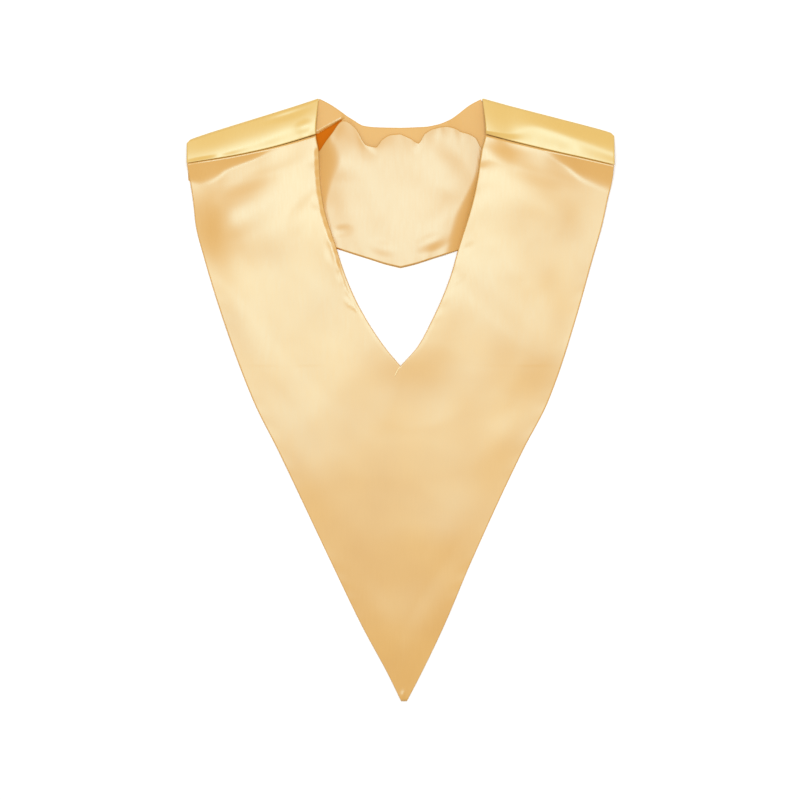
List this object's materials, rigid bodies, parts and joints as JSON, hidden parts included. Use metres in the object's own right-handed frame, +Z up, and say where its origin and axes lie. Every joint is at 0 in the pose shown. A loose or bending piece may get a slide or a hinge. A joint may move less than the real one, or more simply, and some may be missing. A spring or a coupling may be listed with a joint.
{
  "type": "graduation stole",
  "caption": "V-shaped satin graduation stole lying flat, its back yoke folded forward over the shoulders to a seam, with an open neck and a pointed tip.",
  "frame": {"origin": "centre of the stole's outline, on the table that it lies on", "axes": "+X to the right of the picture, +Y along the stole from the tip to the neck, +Z up from the table"},
  "size_m": [0.426, 0.6016, 0.0085],
  "materials": {
    "front_satin": "glossy woven polyester satin, pale gold",
    "back_satin": "glossy woven polyester satin, pale gold",
    "lining_satin": "woven polyester satin, pale gold, a little duller"
  },
  "bodies": {
    "root": {"front_panel": "front_satin", "back_panel": "back_satin", "back_lining": "lining_satin"}
  },
  "joints": []
}
